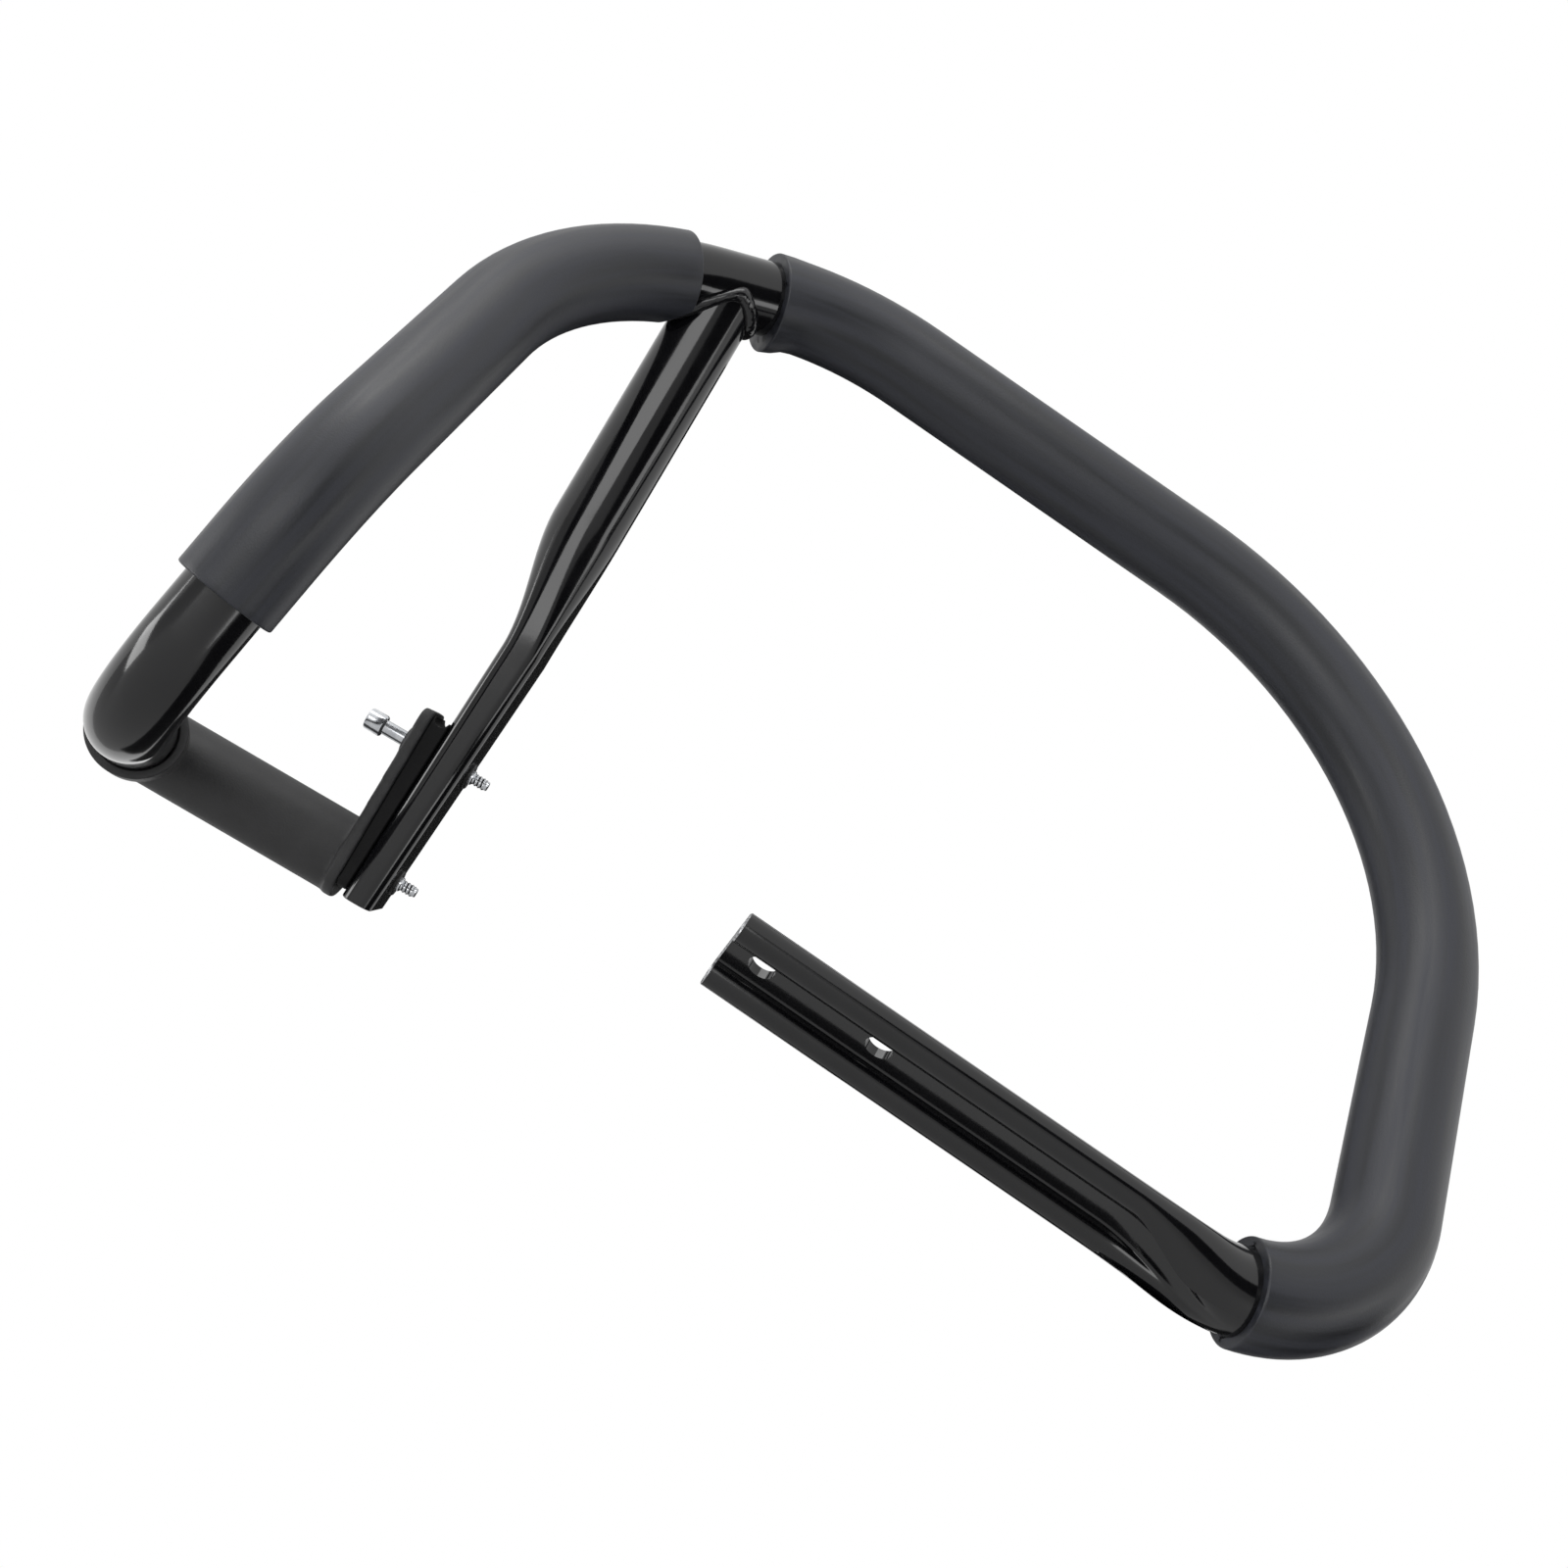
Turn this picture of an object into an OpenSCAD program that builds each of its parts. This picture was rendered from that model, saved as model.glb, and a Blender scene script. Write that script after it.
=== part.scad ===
// Front handle of a large chainsaw: one bent steel tube with two rubber grips,
// a second tube that braces it, and the bracket that clamps their lower ends.
//
// Frame: X runs along the flattened bar, Y goes to the back of the saw, Z is up.
// The origin is the middle of the two holes, on the bar's upper face, which seats on the saw.
// Corners and the brace's foot are measured from there, with heights from the bar's centre line.

/* [Tube] */
// Outer diameter of both tubes
tube_d = 25; // [22:0.5:28]
// Wall of both tubes
tube_wall = 1.5; // [1.2:0.1:2]

/* [Main loop: corners of the centre line] */
// X of the lower right corner
low_right_x = 175; // [168:1:190]
// Bend radius of the lower right corner
low_right_r = 49; // [40:1:52]
// X of the upper right corner
top_right_x = 153; // [140:1:160]
// Bend radius of the upper right corner
top_right_r = 133; // [110:1:140]
// Height of the top bar above the flattened bar, between centre lines
loop_h = 250; // [240:1:260]
// X of the upper left corner
top_left_x = -113; // [-118:1:-106]
// Bend radius of the upper left corner
top_left_r = 90; // [80:1:100]
// Shoulder, where the tube turns down
shoulder = [-196, -8, 190];
// Bend radius of the shoulder
shoulder_r = 100; // [85:1:103]
// Knee, where the side grip starts to lean back
knee = [-192, -17, 42];
// Bend radius of the knee
knee_r = 71; // [60:1:80]
// Elbow, where the tube turns back to the bracket
elbow = [-199, 33.5, -24];
// Bend radius of the elbow
elbow_r = 33; // [24:1:35]

/* [Flattened bar] */
// Distance from the middle of the holes to the free end
bar_reach = 30; // [27:0.5:40]
// Distance between the two holes
hole_spacing = 38; // [32:0.5:42]
// Diameter of the two holes
hole_d = 8.2; // [6:0.1:9]
// Width of the pressed section
bar_w = 33.5; // [30:0.5:36]
// Height of the pressed section, which is the outer diameter of its side lobes
bar_t = 9; // [8:0.25:10]
// X where the pressed section's lower side starts to swell back into the tube
bar_full_x = 95; // [85:1:105]
// X where its upper side does
bar_top_x = 110; // [100:1:115]
// Part of the lower right bend that the swelling takes, in degrees
bar_swell_angle = 19; // [15:1:50]

/* [Grips] */
// Outer diameter of the rubber sleeves
grip_d = 31; // [29:0.5:34]
// Clearance of the sleeves on the tube, on the diameter
grip_play = 0.1; // [0.1:0.1:0.5]
// Gap between the brace's side and the front grip
front_grip_gap = 2.5; // [2:0.5:4]
// Angle of the lower right bend at which the front grip ends
front_grip_angle = 17; // [12:1:40]
// Gap between the brace's side and the side grip
side_grip_gap = 5; // [4:0.5:12]
// Length of the side grip past the end of the knee bend
side_grip_down = 15.5; // [4:0.5:20]
// Clearance of the side grip's notch round the weld bead
notch_play = 0.3; // [0.2:0.1:1]

/* [Brace tube] */
// Distance from the upper left corner to the brace, along the main tube
brace_at = 45; // [42:0.5:50]
// Where the round tube's axis would end at the open lower end
brace_foot = [-132, 144, 35.5];
// Distance from the main tube's centre line to the start of the flattening
brace_round = 93; // [80:1:110]
// Length of the change from round to flattened
brace_change = 49; // [20:1:60]
// Width of the flattened part
flat_w = 30.5; // [28:0.5:33]
// Corner radius of the flattened part
flat_r = 4.5; // [3:0.5:4.5]
// Thickness of the flattened part at its upper end
flat_top_t = 13.3; // [12:0.1:16]
// Thickness of the flattened part at the open end
flat_end_t = 10.8; // [10:0.1:14]
// How far its middle lies off the round tube's axis at its upper end, away from the bracket
flat_top_off = 3.8; // [2:0.1:5]
// How far its middle lies off that axis at the open end
flat_end_off = -0.8; // [-3:0.1:2]
// Size of the weld bead
bead = 3; // [2:0.25:4]

/* [Bracket] */
// Thickness of the spacer between bracket and brace at its upper end
spacer_t = 6.1; // [5:0.1:9]
// How much the spacer is smaller than the plate, at its sides and its upper end
spacer_in = 1.25; // [0.5:0.25:3]
// Distance between the lower ends of the plate and the spacer
spacer_up = 5.5; // [1:0.5:7]
// Radius of the hollow in the spacer's upper end
spacer_hollow_r = 2.4; // [1:0.2:2.4]
// Thickness of the bracket's plate
plate_t = 4.2; // [3:0.1:6]
// Length of the plate along the brace
plate_l = 70.5; // [66:0.5:74]
// Width of the plate
plate_w = 29; // [28:0.5:34]
// Radius of the plate's upper corners
plate_r = 8; // [4:0.5:12]
// How far the plate reaches past the brace's open end
plate_past = 3.5; // [0:0.5:5]
// Outer diameter of the bracket's arm
arm_d = 27.2; // [26:0.2:30]
// Length of the arm from its bend to the plate
arm_l = 77.5; // [72:0.5:86]
// How far the arm's axis lies below the lower screw
arm_low = 1.2; // [0:0.1:3]
// How far the bend of the bracket lies behind the lower screw
arm_back = 2.5; // [0:0.5:6]
// How much the bend of the bracket swells past its arms, on the radius
bend_swell = 0.9; // [0.3:0.1:1.5]
// Outer diameter of the collar that takes the tube
mouth_d = 31; // [30:0.5:33]
// Length of the collar
mouth_l = 30; // [20:1:34]
// Distance from the bend of the bracket to the end of the collar
mouth_reach = 55; // [50:1:62]
// Depth to which the tube sits in the collar
mouth_depth = 32; // [20:1:36]
// Clearance of the tube in the collar, on the diameter
mouth_play = 0.2; // [0.1:0.1:0.6]
// Bore along the arm through which the lower screw is reached
arm_bore_d = 11; // [9.5:0.5:14]

/* [Screws] */
// Screw diameter
screw_d = 5; // [4:0.5:6]
// Clearance of the screw holes, on the diameter
screw_play = 0.4; // [0.2:0.1:1]
// Diameter of the screw heads
head_d = 7.5; // [7:0.25:9]
// Length of the screw heads
head_l = 6.3; // [4:0.1:7]
// Length of the screws' thinner tips past the brace
tip_l = 6.5; // [3:0.5:8]
// Height from the brace's open end to the lower screw
low_screw_up = 11.5; // [9:0.5:18]
// Distance between the screws
screw_spacing = 42.5; // [36:0.5:45]
// Bare shank between the upper screw's head and its boss
shank_free = 8; // [4:0.5:10]
// Height of the boss under the upper screw's head
boss_h = 2; // [1:0.25:3]
// Outer diameter of the boss
boss_d = 11; // [9:0.5:13]
// Outer diameter of the nuts' barrels
nut_d = 7; // [6.5:0.5:8]
// Length of the nuts' barrels
nut_l = 7; // [4:0.5:9]
// Outer diameter of the nuts' collars
collar_d = 9.5; // [9:0.5:12]
// Thickness of the nuts' collars
collar_t = 1.3; // [1:0.1:2]
// Width across the flats of the screws' sockets
socket_w = 4; // [2.5:0.5:5]
// Depth of the screws' sockets
socket_l = 3; // [1.5:0.5:4]
// Difference between the screws' diameter and that of their tips
tip_step = 1.2; // [0.4:0.2:2]

/* [Hidden] */
$fn = 72;

tube_r = tube_d / 2;
bore_r = tube_r - tube_wall;
grip_r = grip_d / 2;
mouth_r = mouth_d / 2;
arm_r = arm_d / 2;
screw_hole_d = screw_d + screw_play;
// A stretch that runs into another by lap is slimmer than it by seam on both its skins
lap = 1;
seam = 0.1;

// Vectors

function unit(v) = v / norm(v);
function mix(a, b, t) = a + (b - a) * t;
function smooth(t) = t * t * (3 - 2 * t);
// Rigid frame from its three axes and its origin
function frame(x, y, z, o) = [[x[0], y[0], z[0], o[0]],
                              [x[1], y[1], z[1], o[1]],
                              [x[2], y[2], z[2], o[2]],
                              [0, 0, 0, 1]];
// Frame whose Z axis is d
function along_z(d, o) =
    let (side = abs(d[2]) < 0.9 ? [0, 0, 1] : [1, 0, 0], x = unit(cross(side, d)))
    frame(x, cross(d, x), d, o);
function sum(v, n) = n <= 0 ? 0 : v[n - 1] + sum(v, n - 1);

// Places of the main loop and the brace

base = [0, 0, -bar_t / 2];
low_right = base + [low_right_x, 0, 0];
top_right = base + [top_right_x, 0, loop_h];
top_left = base + [top_left_x, 0, loop_h];
brace_top = top_left + unit(base + shoulder - top_left) * brace_at;
brace_end = base + brace_foot;
brace_dir = unit(brace_end - brace_top);
brace_l = norm(brace_end - brace_top);
brace_x = unit([1, 0, 0] - brace_dir * brace_dir[0]);
brace_y = cross(brace_dir, brace_x);
// The brace's own frame: Z down the brace, X to the saw, origin on the main tube's centre line
module in_brace() multmatrix(frame(brace_x, brace_y, brace_dir, brace_top)) children();

// Places along the brace
flat_z = brace_round + brace_change;
plate_z = brace_l + plate_past - plate_l;
low_z = brace_l - low_screw_up;
high_z = low_z - screw_spacing;

// Places across the flattened part at height z: its faces away from the bracket and towards it
function flat_mid(z) = mix(flat_top_off, flat_end_off, flat_run(z));
function flat_t(z) = mix(flat_top_t, flat_end_t, flat_run(z));
function flat_run(z) = max(0, (z - flat_z) / (brace_l - flat_z));
function flat_out(z) = flat_mid(z) + flat_t(z) / 2;
function flat_in(z) = flat_mid(z) - flat_t(z) / 2;
flat_lean = atan((flat_in(brace_l) - flat_in(flat_z)) / (brace_l - flat_z));

// Places across the brace, on the bracket
plate_in = flat_in(plate_z + spacer_in) - spacer_t;
plate_out = plate_in - plate_t;
arm_foot = brace_top + brace_dir * (low_z + arm_low) + brace_x * plate_out;
arm_bend = arm_foot - brace_x * arm_l - brace_y * arm_back;

// Centre line of the main tube: straights joined by arcs

CORNERS = [base + [-bar_reach, 0, 0], low_right, top_right, top_left,
           base + shoulder, base + knee, base + elbow, arm_bend];
RADII = [0, low_right_r, top_right_r, top_left_r, shoulder_r, knee_r, elbow_r, 0];
LAST = len(CORNERS) - 1;
DIRS = [for (i = [0:LAST - 1]) unit(CORNERS[i + 1] - CORNERS[i])];
TURNS = [for (i = [0:LAST]) i == 0 || i == LAST ? 0 : acos(DIRS[i - 1] * DIRS[i])];
TANGENTS = [for (i = [0:LAST]) RADII[i] * tan(TURNS[i] / 2)];
STRAIGHTS = [for (i = [0:LAST - 1])
    norm(CORNERS[i + 1] - CORNERS[i]) - TANGENTS[i] - TANGENTS[i + 1]];
ARCS = [for (i = [0:LAST]) RADII[i] * TURNS[i] * PI / 180];
// Run along the centre line at which bend i starts and ends
function arc_start(i) = sum(STRAIGHTS, i) + sum(ARCS, i);
function arc_end(i) = arc_start(i) + ARCS[i];

// Bend i: its X axis points from the arc's centre to where the arc starts
function arc_frame(i) =
    let (d = DIRS[i - 1], n = unit(DIRS[i] - d * (DIRS[i] * d)))
    frame(-n, d, cross(-n, d), CORNERS[i] - d * TANGENTS[i] + n * RADII[i]);

// Pipe along the centre line from run a to run b, solid where it is given no bore
module pipe(a, b, r, bore = 0) {
    for (i = [0:LAST - 1]) {
        start = arc_end(i);
        from = max(a, start - lap);
        to = min(b, start + STRAIGHTS[i] + lap);
        if (b > start && a < start + STRAIGHTS[i])
            multmatrix(along_z(DIRS[i], CORNERS[i] + DIRS[i] * (TANGENTS[i] + from - start)))
                linear_extrude(height = to - from) ring(r - seam, bore > 0 ? bore + seam : 0);
    }
    for (i = [1:LAST - 1]) {
        from = max(a, arc_start(i));
        to = min(b, arc_end(i));
        if (to > from)
            multmatrix(arc_frame(i))
                rotate((from - arc_start(i)) / RADII[i] * 180 / PI)
                    rotate_extrude(angle = (to - from) / RADII[i] * 180 / PI)
                        translate([RADII[i], 0]) ring(r, bore);
    }
}
module ring(r, bore) difference() {
    circle(r = r);
    if (bore > 0) circle(r = bore);
}

tube_length = arc_end(LAST - 1) + STRAIGHTS[LAST - 1];
mouth_at = tube_length - mouth_reach;
tube_end = mouth_at + mouth_depth;
swell_end = arc_start(1) + bar_swell_angle * PI / 180 * low_right_r;

// Closed loft through rings that all have as many points. Each end is closed by a strip that
// zigzags across the ring, from its point number fold to the opposite one.
module loft(rings, fold = 0) {
    n = len(rings[0]);
    m = len(rings);
    strip = [
        [fold, fold + 1, fold - 1 + n],
        for (i = [1:n / 2 - 2]) each [[fold + i, fold + i + 1, fold - i - 1 + n],
                                      [fold + i, fold - i - 1 + n, fold - i + n]],
        [fold + n / 2 - 1, fold + n / 2, fold - n / 2 + 1 + n]];
    polyhedron(
        points = [for (ring = rings) each ring],
        faces = [
            for (f = strip) [f[0] % n, f[1] % n, f[2] % n],
            for (j = [0:m - 2], k = [0:n - 1]) let (q = (k + 1) % n, i = j + 1)
                each [[j * n + k, i * n + k, i * n + q], [j * n + k, i * n + q, j * n + q]],
            for (f = strip) [for (k = [2, 1, 0]) (m - 1) * n + f[k] % n]]);
}

// Flattened bar

lobe_r = bar_t / 2;
lobe_y = bar_w / 2 - lobe_r;
web_t = 2 * tube_wall;
web_z = lobe_r - web_t;
// Section across the bar: two lobes with the tube's two walls pressed together between them
module bar_section() {
    difference() {
        union() {
            for (y = [-lobe_y, lobe_y]) translate([y, 0]) circle(r = lobe_r);
            translate([-lobe_y, web_z]) square([2 * lobe_y, web_t]);
        }
        for (y = [-lobe_y, lobe_y]) translate([y, 0]) circle(r = lobe_r - tube_wall);
    }
}

function arc_points(c, r, a, b, n) =
    [for (k = [0:n - 1]) let (w = mix(a, b, k / n)) c + r * [cos(w), sin(w)]];
function row_points(p, q, n) = [for (k = [0:n - 1]) mix(p, q, k / n)];
// Outlines of the bar and of the tube, inset by seam, in stretches with as many points each:
// top, lobe's outer side, lobe's inner side, channel, inner side, outer side
STRETCH = [6, 7, 7, 6, 7, 7];
TUBE_CUTS = [60, 120, 240, 266, 274, 300, 420];
outline_r = lobe_r - seam;
web_low = web_z + seam;
lobe_in = asin(web_low / outline_r);
web_end = lobe_y - outline_r * cos(lobe_in);
bar_outline = concat(
    row_points([lobe_y, outline_r], [-lobe_y, outline_r], STRETCH[0]),
    arc_points([-lobe_y, 0], outline_r, 90, 270, STRETCH[1]),
    arc_points([-lobe_y, 0], outline_r, -90, lobe_in, STRETCH[2]),
    row_points([-web_end, web_low], [web_end, web_low], STRETCH[3]),
    arc_points([lobe_y, 0], outline_r, 180 - lobe_in, 270, STRETCH[4]),
    arc_points([lobe_y, 0], outline_r, -90, 90, STRETCH[5]));
tube_outline = [for (i = [0:len(STRETCH) - 1])
    each arc_points([0, 0], tube_r - seam, TUBE_CUTS[i], TUBE_CUTS[i + 1], STRETCH[i])];
lobe_tip = STRETCH[0] + STRETCH[1];
channel_end = lobe_tip + STRETCH[2] + STRETCH[3] + STRETCH[4];

// Ring of the swelling at run s. Its lobes swell first, then its upper side, and its channel runs out last.
swell_start = bar_full_x + bar_reach;
swell_steps = 14;
function ramp(s, a, b) = smooth(min(1, max(0, (s - a) / (b - a))));
function swell_ring(s) =
    let (a = max(0, s - arc_start(1)) / low_right_r * 180 / PI,
         up = [-sin(a), 0, cos(a)],
         o = s < arc_start(1) ? [s - bar_reach, 0, 0]
                              : [low_right_x - TANGENTS[1], 0, low_right_r] - low_right_r * up,
         low = ramp(s, swell_start, arc_start(1)),
         high = ramp(s, bar_top_x + bar_reach, swell_end),
         channel = ramp(s, swell_start, swell_end))
    [for (k = [0:len(bar_outline) - 1])
        let (q = tube_outline[k], t = k > lobe_tip && k < channel_end ? channel
                                      : mix(low, high, (1 + q[1] / tube_r) / 2),
             p = mix(bar_outline[k], q, t))
        base + o + [0, p[0], 0] + up * p[1]];

module main_tube() color([0.05, 0.05, 0.055]) difference() {
    union() {
        pipe(swell_end, tube_end, tube_r, bore_r);
        loft(concat(
            [swell_ring(swell_start - lap)],
            [for (j = [0:swell_steps]) swell_ring(mix(swell_start, swell_end, j / swell_steps))],
            [swell_ring(swell_end + lap)]), lobe_tip);
        multmatrix(frame([0, 1, 0], [0, 0, 1], [1, 0, 0], CORNERS[0]))
            linear_extrude(height = swell_start) bar_section();
    }
    for (x = [-1, 1] * hole_spacing / 2)
        translate([x, 0, -2 * bar_t]) cylinder(d = hole_d, h = 3 * bar_t);
}

// Brace tube

// Ring of the brace at height z, inset by a wall, t of the way from round to flat
function brace_ring(inset, t, z) =
    let (hx = flat_t(z) / 2 - flat_r, hy = flat_w / 2 - flat_r)
    [for (q = [0:3], k = [0:7])
        let (round_a = 90 * q + 90 * (k + 0.5) / 8, flat_a = 90 * q + 90 * k / 7,
             flat = [flat_mid(z) + (q == 0 || q == 3 ? hx : -hx), q < 2 ? hy : -hy]
                    + (flat_r - inset) * [cos(flat_a), sin(flat_a)],
             p = mix((tube_r - inset) * [cos(round_a), sin(round_a)], flat, t))
        [p[0], p[1], z]];
// Solid form of the change and the flattened part, each with its own inset from the outer skin,
// run past the change's upper end by up and past the open end by down
module brace_form(round_inset, flat_inset, up, down) loft(concat(
    [brace_ring(round_inset, 0, brace_round - up), brace_ring(round_inset, 0, brace_round)],
    [for (j = [1:8]) brace_ring(flat_inset, smooth(j / 8), brace_round + brace_change * j / 8)],
    [brace_ring(flat_inset, 1, brace_l + down)]));

module brace_tube() color([0.07, 0.07, 0.075]) difference() {
    in_brace() difference() {
        union() {
            linear_extrude(height = brace_round) ring(tube_r, bore_r);
            difference() {
                brace_form(seam, 0, lap, 0);
                brace_form(tube_wall - 2 * seam, tube_wall, 2 * lap, lap);
            }
        }
        for (z = [low_z, high_z]) translate([0, 0, z]) rotate([0, 90, 0]) {
            cylinder(d = screw_hole_d, h = 4 * tube_d, center = true);
            translate([0, 0, flat_mid(z)]) cylinder(d = nut_d, h = tube_d);
        }
    }
    joint_tube();
}
// Solid stretch of the main tube where the brace meets it
module joint_tube() pipe(arc_end(3) - tube_d, arc_start(4) + tube_d, tube_r);

// Bead of weld along the line where the skins of the brace and the main tube cross
module weld_bead() color([0.16, 0.16, 0.17]) difference() {
    in_brace() closed_loft([for (a = [0:10:350]) bead_ring(a)]);
    in_brace() cylinder(r = tube_r, h = 3 * tube_d);
    joint_tube();
}
main_dir = [DIRS[3] * brace_x, DIRS[3] * brace_y, DIRS[3] * brace_dir];
// Height at which a line along the brace through [x, y] leaves the main tube's skin
function cross_z(x, y) =
    let (q = [x, y, 0], b = q * main_dir,
         qa = 1 - main_dir[2] * main_dir[2], qb = -b * main_dir[2], qc = q * q - b * b - tube_r * tube_r)
    (-qb + sqrt(max(0, qb * qb - qa * qc))) / qa;
function bead_ring(a) =
    let (u = [cos(a), sin(a), 0], r = tube_r - 2 * seam, z = cross_z(r * u[0], r * u[1]))
    [for (w = [0:45:315]) (r + bead * cos(w)) * u + [0, 0, z + bead * sin(w)]];
// Loft through rings whose last one meets the first
module closed_loft(rings) {
    n = len(rings[0]);
    m = len(rings);
    polyhedron(
        points = [for (ring = rings) each ring],
        faces = [for (j = [0:m - 1], k = [0:n - 1]) let (q = (k + 1) % n, i = (j + 1) % m)
            each [[j * n + k, i * n + k, i * n + q], [j * n + k, i * n + q, j * n + q]]]);
}

// Grips

corner_run = arc_end(3) - TANGENTS[3];
brace_run = corner_run + brace_at;
module sleeve(a, b) color([0.13, 0.13, 0.135]) pipe(a, b, grip_r, tube_r + grip_play / 2);
module front_grip()
    sleeve(arc_start(1) + front_grip_angle * PI / 180 * low_right_r, brace_run - tube_r - front_grip_gap);
module side_grip() difference() {
    sleeve(brace_run + tube_r + side_grip_gap, arc_end(5) + side_grip_down);
    in_brace() cylinder(r = tube_r + bead + notch_play, h = 3 * tube_d);
}

// Bracket, spacer, screws and nuts

// Plate of a thickness t from place x, with a round lower end and round upper corners, in the
// brace frame
module plate_shape(x, t, l, w, z, r) {
    translate([x, 0, z]) rotate([0, 90, 0]) linear_extrude(height = t) {
        translate([w / 2 - l, -w / 2]) square([l - w / 2 - r, w]);
        translate([-l / 2, r - w / 2]) square([l / 2, w - 2 * r]);
        for (j = [-1, 1]) translate([-r, j * (w / 2 - r)]) circle(r = r);
        translate([w / 2 - l, 0]) circle(d = w);
    }
}
mouth_dir = DIRS[LAST - 1];
module in_mouth() multmatrix(along_z(mouth_dir, arm_bend - mouth_dir * mouth_reach)) children();
module end_bracket() color([0.2, 0.2, 0.205]) difference() {
    union() {
        in_brace() {
            plate_shape(plate_out, plate_t, plate_l, plate_w, plate_z, plate_r);
            translate([plate_out - boss_h, 0, high_z]) rotate([0, 90, 0]) cylinder(d = boss_d, h = boss_h);
            translate([plate_out - arm_l, -arm_back, low_z + arm_low]) rotate([0, 90, 0])
                cylinder(r = arm_r, h = arm_l + lap);
        }
        translate(arm_bend) sphere(r = arm_r + bend_swell);
        in_mouth() {
            cylinder(r = arm_r, h = mouth_reach);
            cylinder(r = mouth_r, h = mouth_l);
            translate([0, 0, mouth_l]) cylinder(r1 = mouth_r, r2 = arm_r, h = 2 * (mouth_r - arm_r));
        }
    }
    in_mouth() translate([0, 0, -1]) cylinder(d = tube_d + mouth_play, h = mouth_depth + 1);
    in_brace() {
        for (z = [low_z, high_z]) translate([plate_out - boss_h - 1, 0, z]) rotate([0, 90, 0])
            cylinder(d = screw_hole_d, h = plate_t + boss_h + 2);
        translate([plate_out - arm_l - arm_d, 0, low_z]) rotate([0, 90, 0])
            cylinder(d = arm_bore_d, h = arm_l + arm_d);
    }
}

// All that lies past the plane of the brace's face towards the bracket
module past_flat() in_brace() translate([flat_in(flat_z), 0, flat_z]) rotate([0, flat_lean, 0])
    translate([0, -flat_w, -tube_d]) cube([tube_d, 2 * flat_w, brace_l]);

module spacer() color([0.02, 0.02, 0.022]) difference() {
    in_brace() difference() {
        plate_shape(plate_in, spacer_t + lap, plate_l - spacer_in - spacer_up, plate_w - 2 * spacer_in,
                    plate_z + spacer_in, plate_r - spacer_in);
        for (z = [low_z, high_z]) translate([plate_in - 1, 0, z]) rotate([0, 90, 0])
            cylinder(d = screw_hole_d, h = spacer_t + 2 * lap);
        translate([plate_in + spacer_t / 2, 0, plate_z + spacer_in]) rotate([90, 0, 0])
            cylinder(r = spacer_hollow_r, h = 2 * plate_w, center = true);
    }
    past_flat();
}

// Place at height z on the brace, with Z across it, away from the bracket
module across(z) in_brace() translate([0, 0, z]) rotate([0, 90, 0]) children();

// Screw across the brace at height z, with its head's seat at place x
module screw(z, x) color([0.75, 0.76, 0.78]) across(z) difference() {
    union() {
        translate([0, 0, x - head_l]) cylinder(d = head_d, h = head_l);
        translate([0, 0, x]) cylinder(d = screw_d, h = flat_out(z) + collar_t + 1 - x);
        translate([0, 0, x]) cylinder(d = screw_d - tip_step, h = flat_out(z) + collar_t + tip_l - x);
    }
    translate([0, 0, x - head_l - 1]) cylinder(d = socket_w / cos(30), h = socket_l + 1, $fn = 6);
}
module upper_screw() screw(high_z, plate_out - boss_h - shank_free);
module lower_screw() screw(low_z, plate_out);

// Collar nut in the brace's far wall at height z, its collar cut to the wall's lean
module nut(z) color([0.1, 0.1, 0.1]) difference() {
    union() {
        across(z) translate([0, 0, flat_out(z) - nut_l]) cylinder(d = nut_d, h = nut_l + collar_t);
        difference() {
            across(z) translate([0, 0, flat_out(z) - collar_t]) cylinder(d = collar_d, h = 2 * collar_t);
            in_brace() brace_form(0, 0, 0, lap);
        }
    }
    across(z) translate([0, 0, flat_out(z) - nut_l - 1]) cylinder(d = screw_d, h = nut_l + collar_t + 2);
}
module upper_nut() nut(high_z);
module lower_nut() nut(low_z);

main_tube();
brace_tube();
weld_bead();
side_grip();
front_grip();
end_bracket();
spacer();
upper_screw();
lower_screw();
upper_nut();
lower_nut();
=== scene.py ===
"""Front handle of a chainsaw: a bent steel tube with two rubber sleeves, the tube that braces it,
and the cast bracket that is screwed to the brace's lower end."""
from math import acos, asin, atan2, ceil, cos, hypot, pi, radians, sin, sqrt, tan

import bmesh
import bpy
from mathutils import Matrix, Vector


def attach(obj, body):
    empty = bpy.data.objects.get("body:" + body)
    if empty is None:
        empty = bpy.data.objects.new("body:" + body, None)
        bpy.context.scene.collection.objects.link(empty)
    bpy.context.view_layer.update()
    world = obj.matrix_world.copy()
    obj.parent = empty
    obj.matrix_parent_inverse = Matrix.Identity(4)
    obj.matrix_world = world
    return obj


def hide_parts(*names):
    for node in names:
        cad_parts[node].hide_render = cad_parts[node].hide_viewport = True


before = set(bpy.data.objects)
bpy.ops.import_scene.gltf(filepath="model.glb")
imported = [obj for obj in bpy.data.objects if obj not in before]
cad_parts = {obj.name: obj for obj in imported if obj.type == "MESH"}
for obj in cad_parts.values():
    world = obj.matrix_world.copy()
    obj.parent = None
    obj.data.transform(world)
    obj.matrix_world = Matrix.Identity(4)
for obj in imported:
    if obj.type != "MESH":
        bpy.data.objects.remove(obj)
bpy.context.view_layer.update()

MM = 0.001
CLOSE = 0.001 * MM

# Camera, at the photograph's angle

eye = bpy.data.objects.new("camera", bpy.data.cameras.new("camera"))
eye.data.lens = 45.627
eye.data.sensor_width = 36
eye.location = (-0.05116, -0.43141, -0.31456)
eye.rotation_euler = [radians(a) for a in (135.792, -24.885, -24.711)]
bpy.context.scene.collection.objects.link(eye)
bpy.context.scene.camera = eye

# Sizes of the handle, in metres

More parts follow.
